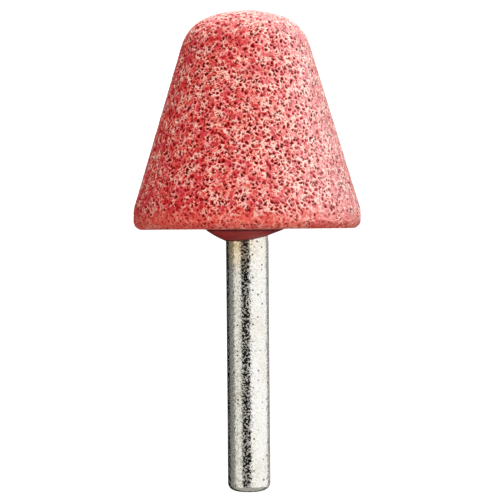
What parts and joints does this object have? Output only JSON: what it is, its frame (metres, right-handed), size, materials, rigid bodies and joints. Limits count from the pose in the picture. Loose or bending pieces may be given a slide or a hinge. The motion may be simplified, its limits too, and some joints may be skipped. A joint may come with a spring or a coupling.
{
  "type": "mounted point",
  "caption": "Tapered abrasive head with a rounded crown, cemented on a plain steel spindle that a die grinder's collet holds.",
  "frame": {"origin": "middle of the spindle's free end", "axes": "+Z along the spindle's axis, from its free end to the head's crown; -Y faces the picture's camera"},
  "size_m": [0.032, 0.032, 0.0675],
  "materials": {
    "abrasive": "rough, open-pored",
    "steel": "ground, lightly pitted",
    "cement": "smooth, set from a paste"
  },
  "bodies": {
    "root": {"abrasive_head": "abrasive", "spindle": "steel", "cement": "cement"}
  },
  "joints": []
}
